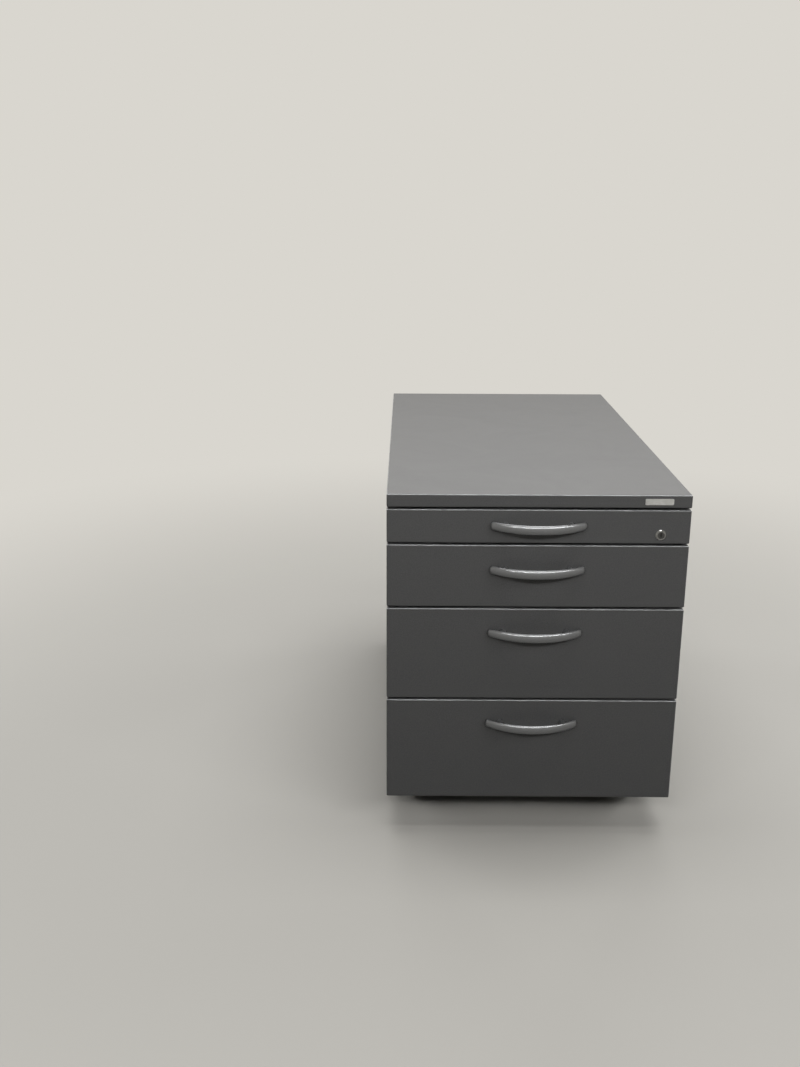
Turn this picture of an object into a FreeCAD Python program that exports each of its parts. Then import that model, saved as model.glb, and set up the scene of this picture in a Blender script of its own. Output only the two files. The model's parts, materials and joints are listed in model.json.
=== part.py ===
# Rolling drawer cabinet: an office pedestal of melamine-faced board with four drawers on
# telescopic slides, a central lock and four twin-wheel castors.
# Millimetres. +Z is up and the drawer fronts face -Y. The floor is z = 0, and the origin
# lies under the middle of the whole object, handles included.

import FreeCAD, Part
import math
import os

Vec = FreeCAD.Vector

# Sizes of the body
WIDTH = 430.0              # across the fronts
DEPTH = 800.0              # front faces to back face
CASTOR_HEIGHT = 63.0       # floor to the underside of the base
BOARD = 19.0               # top, sides, base and fronts
BACK_BOARD = 16.0
EDGE_RADIUS = 2.0          # rounded edging of the top and the fronts
ARRIS = 0.8                # small rounding of the side panels' upright edges

# Sizes of the drawer fronts
TRAY_FRONT_HEIGHT = 49.5
LOW_FRONT_HEIGHT = 93.5
HIGH_FRONT_HEIGHT = 141.5
BASE_COVER = 20.0          # the lowest front is taller by this and hides the base
FRONT_GAP = 3.0
BUMPER_GAP = 2.0           # between the fronts and the carcase behind them
BUMPER_THICK = 1.8
BUMPER_RADIUS = 4.0
BUMPER_DROP = 12.0         # below the top of each front

# Sizes of the handles
HANDLE_LENGTH = 136.0
HANDLE_PROJECTION = 30.0
HANDLE_BOW = 23.0          # how far the middle stands out past the ends
HANDLE_THICK = 6.0
HANDLE_HEIGHT = 13.5       # at the middle
HANDLE_END_HEIGHT = 12.0
HANDLE_ROUND = 2.5
HANDLE_SPACING = 92.0
HANDLE_POST_RADIUS = 4.5
HANDLE_DROP = 35.5         # below the top of a front
TRAY_HANDLE_DROP = 22.5    # the same on drawer 1

# Sizes of the blank badge on the top's front edge
BADGE_WIDTH = 40.0
BADGE_HEIGHT = 9.0
BADGE_THICK = 1.0
BADGE_CORNER = 1.5
BADGE_INSET = 26.5

# Sizes of the drawers
SLIDE_WIDTH = 13.0         # between a side panel and the drawer
BOX_REAR_ROOM = 55.0       # between a drawer and the back panel
BOX_SHEET = 1.0
BOX_RIM = 8.0
BOX_LIP = 5.0
BOX_FLOOR_CLEAR = 8.0
BOX_TOP_CLEAR = 17.0       # below the top of the front
TRAY_WALL = 2.5
TRAY_FLOOR_CLEAR = 6.0
TRAY_TOP_CLEAR = 6.5
TRAY_ROW = 120.0           # length of the divided rows
TRAY_DIVIDER_DROP = 4.0    # dividers below the walls' top
TRAY_COLUMNS = (1, 3, 2)   # compartments in each divided row, front row first

# Sizes of the slides
SLIDE_SETBACK = 45.0       # behind the carcase's front edges
SLIDE_REAR_ROOM = 68.0     # between the rails and the back panel
RAIL_RISE = 18.5           # drawer floor to the middle of its rails
RAIL_SHEET = 1.2
RAIL_HEIGHT = 35.0
RAIL_PLAY = 0.6
GLIDE_GAP = 3.0            # between the flanges of nested rails
GLIDE_CLEAR = 0.3
GLIDE_LENGTH = 120.0
GLIDE_INSET = 10.0

# Sizes of the lock
LOCK_INSET = 41.5          # from the front's right edge
LOCK_RISE = 13.0           # above the front's lower edge
LOCK_RING_RADIUS = 8.0
LOCK_RING_PROUD = 1.6
LOCK_RING_BEVEL = 1.1
LOCK_BARREL_RADIUS = 7.3
LOCK_PLUG_RADIUS = 5.0
LOCK_PLUG_SINK = 0.4
KEYHOLE_WIDTH = 1.4
KEYHOLE_HEIGHT = 6.4
KEYHOLE_DEPTH = 9.0
LOCK_THROW = 9.0           # radius of the pin that drives the bolt
LOCK_TURN = 90.0           # degrees, half to each side of upright
LOCK_PIN_RADIUS = 1.5
LOCK_PIN_PLAY = 0.5
LOCK_DISC = 8.0
LOCK_CASE_WALL = 2.0
LOCK_CASE_END_ROOM = 4.0   # between the case and the side panel
BOLT_THICK = 6.0
BOLT_HEIGHT = 12.0
BOLT_LEVEL = 11.0          # behind the front's rear face
BOLT_NOSE = 1.0            # blunt end of the bolt's wedge
LOCK_LIFT = 7.8            # travel of the locking bar
BAR_THICK = 1.2
BAR_PLAY = 0.4
BAR_EDGE = 8.0             # groove behind the carcase's front edge
BAR_WIDTH = 17.2
BAR_END = 12.0             # bar beyond its last working feature
STUD_RADIUS = 2.5
STUD_LENGTH = 8.0
STUD_LEVEL = 17.0          # behind the carcase's front edge
CATCH_GAP = 1.0
CATCH_THICK = 4.0
CATCH_HEIGHT = 8.0
CATCH_DROP = 16.0          # its lower edge below the top of the drawer

# Sizes of the castors
WHEEL_RADIUS = 25.0
WHEEL_WIDTH = 17.0
WHEEL_GAP = 9.0            # between the twin wheels
WHEEL_ROUND = 2.0
WHEEL_RIM = 5.0
WHEEL_HUB_RADIUS = 8.0
WHEEL_RECESS = 10.0
WHEEL_CAP = 3.0            # closed outer end of the hub
CASTOR_TRAIL = 22.0        # swivel axis to axle
CASTOR_SIDE_INSET = 55.0
CASTOR_FRONT_INSET = 105.0
CASTOR_REAR_INSET = 70.0
PLATE_SIZE = 42.0
PLATE_THICK = 2.5
PLATE_HOLE_SPACING = 32.0
STEM_RADIUS = 4.0
AXLE_RADIUS = 3.0
HOOD_CLEAR = 1.5
HOOD_SHEET = 2.5
HOOD_WEB = 6.0
HOOD_SKIRT = 10.0          # web below the axle
BOSS_RADIUS = 9.0
BOSS_FLOOR = 1.0

# Sizes of the fasteners
DOWEL_RADIUS = 4.0
DOWEL_LENGTH = 30.0
DOWEL_FACE_DEPTH = 12.0    # in the face of the second board
DOWEL_END_ROOM = 1.0
DOWEL_INSET = 60.0
WOOD_SCREW_RADIUS = 1.75
WOOD_SCREW_LENGTH = 13.0
WOOD_SCREW_HEAD_RADIUS = 3.4
WOOD_SCREW_HEAD = 1.6
RAIL_SCREW_INSET = 35.0
HANDLE_SCREW_RADIUS = 2.0
HANDLE_SCREW_BITE = 8.0    # inside the handle's post
DRAWER_SCREW_HEAD_RADIUS = 4.0
DRAWER_SCREW_HEAD = 2.2
FRONT_SCREW_INSET = 63.0   # from the drawer's sides
FRONT_SCREW_RISE = 22.5    # above the drawer floor, lower pair

# Clearances
FIT = 0.05                 # a shaft in its bore, on the radius
SCREW_FIT = 0.1            # a screw or dowel in its hole, on the radius
RUNNING_GAP = 0.3          # between other faces that pass each other

SIDES = (-1, 1)
SIDE_NAMES = {-1: "left", 1: "right"}

# Levels and planes worked out from the sizes
FRONT_HEIGHTS = (TRAY_FRONT_HEIGHT, LOW_FRONT_HEIGHT, HIGH_FRONT_HEIGHT,
                 HIGH_FRONT_HEIGHT + BASE_COVER)
front_levels = []
level = CASTOR_HEIGHT
for front_height in reversed(FRONT_HEIGHTS):
    front_levels.insert(0, (level, level + front_height))
    level += front_height + FRONT_GAP
TOP_UNDERSIDE = level
TOP = TOP_UNDERSIDE + BOARD
BASE_TOP = CASTOR_HEIGHT + BOARD

FRONT_Y = (HANDLE_PROJECTION - DEPTH) / 2
FRONT_REAR_Y = FRONT_Y + BOARD
CARCASE_Y = FRONT_REAR_Y + BUMPER_GAP
BACK_Y = FRONT_Y + DEPTH
RAIL_Y = CARCASE_Y + SLIDE_SETBACK
SLIDE_LENGTH = BACK_Y - BACK_BOARD - SLIDE_REAR_ROOM - RAIL_Y
BOX_END_Y = BACK_Y - BACK_BOARD - BOX_REAR_ROOM

INNER_X = WIDTH / 2 - BOARD
SIDE_MIDDLE_X = WIDTH / 2 - BOARD / 2
BOX_X = INNER_X - SLIDE_WIDTH

# Each drawer's floor and top, the tray first
drawer_levels = []
for number, (low, high) in enumerate(front_levels):
    floor_clear = TRAY_FLOOR_CLEAR if number == 0 else BOX_FLOOR_CLEAR
    top_clear = TRAY_TOP_CLEAR if number == 0 else BOX_TOP_CLEAR
    drawer_levels.append((max(low, BASE_TOP) + floor_clear, high - top_clear))
rail_levels = [floor + RAIL_RISE for floor, _ in drawer_levels]

handle_levels = [high - HANDLE_DROP for _, high in front_levels]
handle_levels[0] = front_levels[0][1] - TRAY_HANDLE_DROP

# Rail sections: half heights, and distances from the side panel
OUTER_HALF = RAIL_HEIGHT / 2
MIDDLE_HALF = OUTER_HALF - RAIL_SHEET - GLIDE_GAP
INNER_HALF = MIDDLE_HALF - RAIL_SHEET - GLIDE_GAP
MIDDLE_WEB = RAIL_SHEET + WOOD_SCREW_HEAD + RAIL_PLAY
MIDDLE_OPEN = SLIDE_WIDTH - RAIL_SHEET - RAIL_PLAY
INNER_OPEN = MIDDLE_WEB + RAIL_SHEET + RAIL_PLAY
OUTER_OPEN = MIDDLE_OPEN - RAIL_SHEET - RAIL_PLAY
RAIL_LIP = GLIDE_GAP - RAIL_PLAY

# The lock's pin swings from one side of upright to the other
HALF_TURN = math.radians(LOCK_TURN / 2)
LOCK_X = WIDTH / 2 - LOCK_INSET
LOCK_Z = front_levels[0][0] + LOCK_RISE
PIN_X = LOCK_X - LOCK_THROW * math.sin(HALF_TURN)
PIN_Z = LOCK_Z + LOCK_THROW * math.cos(HALF_TURN)
BOLT_TRAVEL = 2 * LOCK_THROW * math.sin(HALF_TURN)
DISC_RADIUS = LOCK_THROW + LOCK_PIN_RADIUS + LOCK_PIN_PLAY
BOLT_END_X = INNER_X - LOCK_CASE_END_ROOM
BOLT_START_X = LOCK_X - DISC_RADIUS
BOLT_Y = FRONT_REAR_Y + BOLT_LEVEL
BOLT_REAR_Y = BOLT_Y + BOLT_THICK
BOLT_LOW = LOCK_Z - BOLT_HEIGHT / 2
BOLT_HIGH = LOCK_Z + BOLT_HEIGHT / 2
TAIL_HIGH = LOCK_Z + DISC_RADIUS
SLOT_HALF = LOCK_PIN_RADIUS + LOCK_PIN_PLAY
CASE_X = BOLT_START_X - LOCK_CASE_WALL - RUNNING_GAP
CASE_REAR_Y = BOLT_REAR_Y + RUNNING_GAP + LOCK_CASE_WALL
CASE_LOW = LOCK_Z - DISC_RADIUS - LOCK_CASE_WALL
CASE_HIGH = LOCK_Z + DISC_RADIUS + LOCK_CASE_WALL
BAR_Y = CARCASE_Y + BAR_EDGE + BAR_PLAY
BAR_REAR_Y = BAR_Y + BAR_WIDTH
STUD_Y = CARCASE_Y + STUD_LEVEL
CATCH_Y = STUD_Y + STUD_RADIUS + CATCH_GAP
WINDOW_LOW = BOLT_LOW - RUNNING_GAP - LOCK_LIFT
WINDOW_HIGH = BOLT_HIGH + RUNNING_GAP - LOCK_LIFT
catch_levels = [top - CATCH_DROP for _, top in drawer_levels[1:]]
stud_levels = [low - CATCH_GAP - STUD_RADIUS for low in catch_levels]
BAR_LOW = min(stud_levels) - BAR_END
BAR_HIGH = WINDOW_HIGH + BAR_END

# Castor levels
PLATE_LOW = CASTOR_HEIGHT - PLATE_THICK
BOSS_LOW = 2 * WHEEL_RADIUS
BOSS_HIGH = PLATE_LOW - RUNNING_GAP
STEM_LOW = BOSS_LOW + BOSS_FLOOR
HOOD_INNER = WHEEL_RADIUS + HOOD_CLEAR
HOOD_OUTER = HOOD_INNER + HOOD_SHEET
TWIN_HALF = WHEEL_GAP / 2 + WHEEL_WIDTH
castor_places = {}
for side in SIDES:
    castor_x = side * (WIDTH / 2 - CASTOR_SIDE_INSET)
    castor_places["front_" + SIDE_NAMES[side]] = Vec(castor_x, FRONT_Y + CASTOR_FRONT_INSET, 0)
    castor_places["rear_" + SIDE_NAMES[side]] = Vec(castor_x, BACK_Y - CASTOR_REAR_INSET, 0)


# Building helpers
def block(x, y, z):
    """Box between a pair of levels on each axis."""
    size = [max(pair) - min(pair) for pair in (x, y, z)]
    return Part.makeBox(size[0], size[1], size[2], Vec(min(x), min(y), min(z)))


def rod(start, end, radius):
    """Round bar from one point to another."""
    path = end.sub(start)
    return Part.makeCylinder(radius, path.Length, start, path)


def one_solid(shape):
    """The single solid of a result, tidied of seams left by joining."""
    solids = shape.removeSplitter().Solids
    if len(solids) != 1:
        raise ValueError("expected one solid, found %d" % len(solids))
    return solids[0]


def joined(first, *others):
    return one_solid(first.fuse(list(others)))


def cut_out(shape, cutters):
    return one_solid(shape.cut(list(cutters)))


def group(solids):
    return Part.makeCompound(list(solids))


def spread(low, high, count):
    """Evenly spaced values that include both ends."""
    step = (high - low) / (count - 1)
    return [low + step * i for i in range(count)]


def edges_along(shape, axis):
    """Straight edges parallel to an axis."""
    found = []
    for edge in shape.Edges:
        direction = edge.Vertexes[-1].Point.sub(edge.Vertexes[0].Point)
        if direction.Length > 0 and direction.normalize().cross(axis).Length < 1e-6:
            found.append(edge)
    return found


def screw(seat, direction, radius, length, head_radius, head):
    """Pan-head screw whose head sits at `seat` and whose shank runs along `direction`."""
    top = seat.sub(direction * head)
    return joined(rod(top, seat, head_radius), rod(seat, seat.add(direction * length), radius))


def screw_hole(seat, direction, radius, length):
    """Hole for a screw, from the seat inward."""
    end = seat.add(direction * (length + SCREW_FIT))
    return rod(seat, end, radius + SCREW_FIT)


def from_panel(side, near, far):
    """Pair of x levels at two distances from a side panel's inner face."""
    return (side * (INNER_X - near), side * (INNER_X - far))


# Fastener places, used for both the fasteners and their holes
def dowel_seats():
    """Each dowel's point on the joint face and its direction into the board's edge."""
    seats = []
    for side in SIDES:
        inward = Vec(-side, 0, 0)
        for y in spread(CARCASE_Y + DOWEL_INSET, BACK_Y - DOWEL_INSET, 3):
            seats.append((Vec(side * SIDE_MIDDLE_X, y, TOP_UNDERSIDE), Vec(0, 0, -1)))
            seats.append((Vec(side * INNER_X, y, CASTOR_HEIGHT + BOARD / 2), inward))
        for z in spread(BASE_TOP + DOWEL_INSET, TOP_UNDERSIDE - DOWEL_INSET, 2):
            seats.append((Vec(side * INNER_X, BACK_Y - BACK_BOARD / 2, z), inward))
    return seats


def dowel(seat, direction, radius, end_room):
    start = seat.sub(direction * (DOWEL_FACE_DEPTH + end_room))
    end = seat.add(direction * (DOWEL_LENGTH - DOWEL_FACE_DEPTH + end_room))
    return rod(start, end, radius)


def rail_screw_seats(side):
    """Screws that hold the outer rails to one side panel."""
    x = side * (INNER_X - RAIL_SHEET)
    seats = []
    for z in rail_levels:
        for y in spread(RAIL_Y + RAIL_SCREW_INSET, RAIL_Y + SLIDE_LENGTH - RAIL_SCREW_INSET, 3):
            seats.append((Vec(x, y, z), Vec(side, 0, 0)))
    return seats


def castor_screw_seats():
    seats = []
    for place in castor_places.values():
        for dx in SIDES:
            for dy in SIDES:
                offset = Vec(dx * PLATE_HOLE_SPACING / 2, dy * PLATE_HOLE_SPACING / 2, PLATE_LOW)
                seats.append((place.add(offset), Vec(0, 0, 1)))
    return seats


def handle_screw_seats(number):
    wall = TRAY_WALL if number == 0 else BOX_SHEET
    y = FRONT_REAR_Y + wall
    return [(Vec(side * HANDLE_SPACING / 2, y, handle_levels[number]), Vec(0, -1, 0))
            for side in SIDES]


def front_screw_seats(number):
    """Screws from inside the drawer into its front: two for the tray, four for a box."""
    wall = TRAY_WALL if number == 0 else BOX_SHEET
    levels = [handle_levels[number]]
    if number > 0:
        levels.append(drawer_levels[number][0] + FRONT_SCREW_RISE)
    return [(Vec(side * (BOX_X - FRONT_SCREW_INSET), FRONT_REAR_Y + wall, z), Vec(0, -1, 0))
            for side in SIDES for z in levels]


def handle_screw_length(number):
    wall = TRAY_WALL if number == 0 else BOX_SHEET
    return wall + BOARD + HANDLE_SCREW_BITE


wood_holes = [screw_hole(seat, way, WOOD_SCREW_RADIUS, WOOD_SCREW_LENGTH)
              for side in SIDES for seat, way in rail_screw_seats(side)]
castor_holes = [screw_hole(seat, way, WOOD_SCREW_RADIUS, WOOD_SCREW_LENGTH)
                for seat, way in castor_screw_seats()]
dowel_holes = [dowel(seat, way, DOWEL_RADIUS + SCREW_FIT, DOWEL_END_ROOM)
               for seat, way in dowel_seats()]


# Carcase boards
def make_top_panel():
    panel = block((-WIDTH / 2, WIDTH / 2), (FRONT_Y, BACK_Y), (TOP_UNDERSIDE, TOP))
    panel = panel.makeFillet(EDGE_RADIUS, panel.Edges)
    return cut_out(panel, dowel_holes)


def make_side_panel(side):
    panel = block((side * INNER_X, side * WIDTH / 2), (CARCASE_Y, BACK_Y),
                  (CASTOR_HEIGHT, TOP_UNDERSIDE))
    panel = panel.makeFillet(ARRIS, edges_along(panel, Vec(0, 0, 1)))
    cutters = dowel_holes + wood_holes
    if side > 0:
        groove = block((INNER_X, INNER_X + BAR_THICK + 2 * BAR_PLAY),
                       (BAR_Y - BAR_PLAY, BAR_REAR_Y + BAR_PLAY),
                       (BAR_LOW - CATCH_GAP, BAR_HIGH + LOCK_LIFT + CATCH_GAP))
        strike = block((INNER_X, BOLT_END_X + BOLT_TRAVEL + RUNNING_GAP),
                       (BOLT_Y - RUNNING_GAP, BOLT_REAR_Y + RUNNING_GAP),
                       (BOLT_LOW - RUNNING_GAP, BOLT_HIGH + RUNNING_GAP))
        cutters = cutters + [groove, strike]
    return cut_out(panel, cutters)


def make_base_panel():
    panel = block((-INNER_X, INNER_X), (CARCASE_Y, BACK_Y), (CASTOR_HEIGHT, BASE_TOP))
    return cut_out(panel, dowel_holes + castor_holes)


def make_back_panel():
    panel = block((-INNER_X, INNER_X), (BACK_Y - BACK_BOARD, BACK_Y), (BASE_TOP, TOP_UNDERSIDE))
    return cut_out(panel, dowel_holes)


def make_badge():
    """Blank plate on the top's front edge."""
    right = WIDTH / 2 - BADGE_INSET
    middle = (TOP_UNDERSIDE + TOP) / 2
    plate = block((right - BADGE_WIDTH, right), (FRONT_Y - BADGE_THICK, FRONT_Y),
                  (middle - BADGE_HEIGHT / 2, middle + BADGE_HEIGHT / 2))
    return plate.makeFillet(BADGE_CORNER, edges_along(plate, Vec(0, 1, 0)))


def make_bumpers():
    bumpers = []
    for _, high in front_levels:
        for side in SIDES:
            seat = Vec(side * SIDE_MIDDLE_X, CARCASE_Y, high - BUMPER_DROP)
            bumpers.append(rod(seat, seat.sub(Vec(0, BUMPER_THICK, 0)), BUMPER_RADIUS))
    return group(bumpers)


def make_carcase_screws():
    seats = castor_screw_seats()
    for side in SIDES:
        seats = seats + rail_screw_seats(side)
    return group(screw(seat, way, WOOD_SCREW_RADIUS, WOOD_SCREW_LENGTH,
                       WOOD_SCREW_HEAD_RADIUS, WOOD_SCREW_HEAD) for seat, way in seats)


# Slides
def channel(side, middle, web, opening, half, lip):
    """Folded rail whose web and flange ends lie at two distances from the side panel."""
    way = 1 if opening > web else -1
    y = (RAIL_Y, RAIL_Y + SLIDE_LENGTH)
    pieces = [block(from_panel(side, web, web + way * RAIL_SHEET), y,
                    (middle - half, middle + half))]
    for up in SIDES:
        flange = (middle + up * half, middle + up * (half - RAIL_SHEET))
        pieces.append(block(from_panel(side, web, opening), y, flange))
        if lip > 0:
            turned = (middle + up * half, middle + up * (half - RAIL_SHEET - lip))
            pieces.append(block(from_panel(side, opening - way * RAIL_SHEET, opening), y, turned))
    return joined(*pieces)


def make_outer_rails():
    rails = []
    for side in SIDES:
        for middle in rail_levels:
            rail = channel(side, middle, 0, OUTER_OPEN, OUTER_HALF, RAIL_LIP)
            rails.append(cut_out(rail, wood_holes))
    return group(rails)


def make_middle_rails(number):
    return group(channel(side, rail_levels[number], MIDDLE_WEB, MIDDLE_OPEN, MIDDLE_HALF, RAIL_LIP)
                 for side in SIDES)


def make_inner_rails(number):
    return group(channel(side, rail_levels[number], SLIDE_WIDTH, INNER_OPEN, INNER_HALF, 0)
                 for side in SIDES)


def make_glides(number):
    """Nylon strips on the middle rails: outer ones at the rear, inner ones at the front."""
    middle = rail_levels[number]
    thick = GLIDE_GAP - GLIDE_CLEAR
    rail_end = RAIL_Y + SLIDE_LENGTH - GLIDE_INSET
    rear = (rail_end - GLIDE_LENGTH, rail_end)
    front = (RAIL_Y + GLIDE_INSET, RAIL_Y + GLIDE_INSET + GLIDE_LENGTH)
    strips = []
    for side in SIDES:
        outer_x = from_panel(side, MIDDLE_WEB, OUTER_OPEN - RAIL_SHEET - RUNNING_GAP)
        inner_x = from_panel(side, INNER_OPEN, MIDDLE_OPEN - RAIL_SHEET)
        for up in SIDES:
            outside = middle + up * MIDDLE_HALF
            inside = middle + up * (MIDDLE_HALF - RAIL_SHEET)
            strips.append(block(outer_x, rear, (outside, outside + up * thick)))
            strips.append(block(inner_x, front, (inside, inside - up * thick)))
    return group(strips)


# Drawers
def make_front(number):
    low, high = front_levels[number]
    front = block((-WIDTH / 2, WIDTH / 2), (FRONT_Y, FRONT_REAR_Y), (low, high))
    front = front.makeFillet(EDGE_RADIUS, front.Edges)
    cutters = [screw_hole(seat, way, HANDLE_SCREW_RADIUS, handle_screw_length(number))
               for seat, way in handle_screw_seats(number)]
    cutters += [screw_hole(seat, way, WOOD_SCREW_RADIUS, WOOD_SCREW_LENGTH)
                for seat, way in front_screw_seats(number)]
    if number == 0:
        cutters.append(rod(Vec(LOCK_X, FRONT_Y, LOCK_Z), Vec(LOCK_X, FRONT_REAR_Y, LOCK_Z),
                           LOCK_BARREL_RADIUS + SCREW_FIT))
    return cut_out(front, cutters)


def between_arcs(first, second):
    """Face between two arcs, each through three points, in order round the outline."""
    edges = [Part.Arc(*first), Part.LineSegment(first[-1], second[0]),
             Part.Arc(*second), Part.LineSegment(second[-1], first[0])]
    return Part.Face(Part.Wire([edge.toShape() for edge in edges]))


def make_handle(number):
    """Bow handle: an arched bar, lower at its ends, on two posts."""
    half = HANDLE_LENGTH / 2
    radius = (half ** 2 + HANDLE_BOW ** 2) / (2 * HANDLE_BOW)
    centre_y = FRONT_Y - HANDLE_PROJECTION + radius
    middle = handle_levels[number]
    reach = math.asin(half / radius)

    def on_arc(distance, angle):
        return Vec(distance * math.sin(angle), centre_y - distance * math.cos(angle),
                   middle - HANDLE_HEIGHT / 2)

    outer = [on_arc(radius, angle) for angle in (-reach, 0, reach)]
    inner = [on_arc(radius - HANDLE_THICK, angle) for angle in (reach, 0, -reach)]
    bar = between_arcs(outer, inner).extrude(Vec(0, 0, HANDLE_HEIGHT))

    ahead = FRONT_Y - HANDLE_PROJECTION
    heights = ((-half, HANDLE_END_HEIGHT), (0, HANDLE_HEIGHT), (half, HANDLE_END_HEIGHT))
    upper = [Vec(x, ahead, middle + height / 2) for x, height in heights]
    lower = [Vec(x, ahead, middle - height / 2) for x, height in reversed(heights)]
    taper = between_arcs(upper, lower).extrude(Vec(0, HANDLE_PROJECTION, 0))
    bar = one_solid(bar.common(taper))
    bar = bar.makeFillet(HANDLE_ROUND, bar.Edges)

    post_x = HANDLE_SPACING / 2
    post_end = centre_y - math.sqrt((radius - HANDLE_THICK / 2) ** 2 - post_x ** 2)
    posts = [rod(Vec(side * post_x, FRONT_Y, middle), Vec(side * post_x, post_end, middle),
                 HANDLE_POST_RADIUS)
             for side in SIDES]
    holes = [screw_hole(seat, way, HANDLE_SCREW_RADIUS, handle_screw_length(number))
             for seat, way in handle_screw_seats(number)]
    return cut_out(joined(bar, *posts), holes)


def wall_holes(number):
    """Holes in the drawer's front wall for the screws that pass through it."""
    holes = [screw_hole(seat, way, HANDLE_SCREW_RADIUS, TRAY_WALL)
             for seat, way in handle_screw_seats(number)]
    holes += [screw_hole(seat, way, WOOD_SCREW_RADIUS, TRAY_WALL)
              for seat, way in front_screw_seats(number)]
    return holes


def make_tray():
    """Tray of drawer 1: a floor, walls that leave a corner for the lock, and lower dividers."""
    floor, top = drawer_levels[0]
    inside = BOX_X - TRAY_WALL
    front_end = FRONT_REAR_Y + TRAY_WALL
    notch_x = CASE_X - RUNNING_GAP
    notch_y = CASE_REAR_Y + RUNNING_GAP
    notch = block((notch_x, BOX_X), (FRONT_REAR_Y, notch_y), (floor, top))
    base = block((-BOX_X, BOX_X), (FRONT_REAR_Y, BOX_END_Y), (floor, floor + TRAY_WALL))
    high = (floor + TRAY_WALL, top)
    front_wall = block((-inside, notch_x), (FRONT_REAR_Y, front_end), high)
    pieces = [
        cut_out(base, [notch]),
        cut_out(front_wall, wall_holes(0)),
        block((-BOX_X, -inside), (FRONT_REAR_Y, BOX_END_Y), high),
        block((inside, BOX_X), (notch_y, BOX_END_Y), high),
        block((-inside, inside), (BOX_END_Y - TRAY_WALL, BOX_END_Y), high),
        block((notch_x - TRAY_WALL, notch_x), (front_end, notch_y + TRAY_WALL), high),
        block((notch_x, inside), (notch_y, notch_y + TRAY_WALL), high),
    ]
    low = (floor + TRAY_WALL, top - TRAY_DIVIDER_DROP)
    row_end = front_end
    for columns in TRAY_COLUMNS:
        row = (row_end, row_end + TRAY_ROW)
        row_end = row[1] + TRAY_WALL
        pieces.append(block((-inside, inside), (row[1], row_end), low))
        pitch = (2 * BOX_X - TRAY_WALL) / columns
        for column in range(1, columns):
            x = -BOX_X + column * pitch
            pieces.append(block((x, x + TRAY_WALL), row, low))
    return group(pieces)


def make_box(number):
    """Steel drawer: a floor, four walls with a turned-in rim, and the locking bar's catch."""
    floor, top = drawer_levels[number]
    ends = (FRONT_REAR_Y, BOX_END_Y)
    high = (floor + BOX_SHEET, top)
    rim = (top - BOX_SHEET, top)
    lip = (top - BOX_LIP, top)
    pieces = [block((-BOX_X, BOX_X), ends, (floor, floor + BOX_SHEET))]
    for side in SIDES:
        def inward(start, end):
            return (side * (BOX_X - start), side * (BOX_X - end))

        length = (ends[0] + BOX_SHEET, ends[1] - BOX_SHEET)
        pieces.append(joined(block(inward(0, BOX_SHEET), ends, high),
                             block(inward(0, BOX_RIM), length, rim),
                             block(inward(BOX_RIM - BOX_SHEET, BOX_RIM), length, lip)))
    for end, way in zip(ends, (1, -1)):
        def along(start, stop):
            return (end + way * start, end + way * stop)

        width = (BOX_RIM - BOX_X, BOX_X - BOX_RIM)
        wall = joined(block((BOX_SHEET - BOX_X, BOX_X - BOX_SHEET), along(0, BOX_SHEET), high),
                      block(width, along(0, BOX_RIM), rim),
                      block(width, along(BOX_RIM - BOX_SHEET, BOX_RIM), lip))
        pieces.append(cut_out(wall, wall_holes(number)))
    low = catch_levels[number - 1]
    pieces.append(block((BOX_X, BOX_X + STUD_LENGTH), (CATCH_Y, CATCH_Y + CATCH_THICK),
                        (low, low + CATCH_HEIGHT)))
    return group(pieces)


def make_drawer_screws(number):
    screws = [screw(seat, way, HANDLE_SCREW_RADIUS, handle_screw_length(number),
                    DRAWER_SCREW_HEAD_RADIUS, DRAWER_SCREW_HEAD)
              for seat, way in handle_screw_seats(number)]
    screws += [screw(seat, way, WOOD_SCREW_RADIUS, WOOD_SCREW_LENGTH,
                     DRAWER_SCREW_HEAD_RADIUS, DRAWER_SCREW_HEAD)
               for seat, way in front_screw_seats(number)]
    return group(screws)


# Lock
def along_lock(start, end, radius, x=LOCK_X, z=LOCK_Z):
    """Round bar parallel to the lock's axis between two depths."""
    return rod(Vec(x, start, z), Vec(x, end, z), radius)


def make_lock_case():
    """Bevelled ring and barrel in the front, with the bolt's case behind it."""
    ring_face = FRONT_Y - LOCK_RING_PROUD
    ring = along_lock(ring_face, FRONT_Y, LOCK_RING_RADIUS)
    face_edges = [edge for edge in ring.Edges if edge.CenterOfMass.y - ring_face < LOCK_RING_BEVEL / 2]
    ring = ring.makeChamfer(LOCK_RING_BEVEL, face_edges)
    barrel = along_lock(FRONT_Y, FRONT_REAR_Y, LOCK_BARREL_RADIUS)
    case = block((CASE_X, BOLT_END_X), (FRONT_REAR_Y, CASE_REAR_Y), (CASE_LOW, CASE_HIGH))
    bore = along_lock(ring_face, FRONT_REAR_Y + LOCK_CASE_WALL, LOCK_PLUG_RADIUS + FIT)
    pocket = along_lock(FRONT_REAR_Y + LOCK_CASE_WALL, BOLT_Y, DISC_RADIUS + RUNNING_GAP)
    slideway = block((BOLT_START_X - RUNNING_GAP, BOLT_END_X),
                     (BOLT_Y - RUNNING_GAP, BOLT_REAR_Y + RUNNING_GAP),
                     (BOLT_LOW - RUNNING_GAP, TAIL_HIGH + RUNNING_GAP))
    return cut_out(joined(ring, barrel, case), [bore, pocket, slideway])


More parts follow.
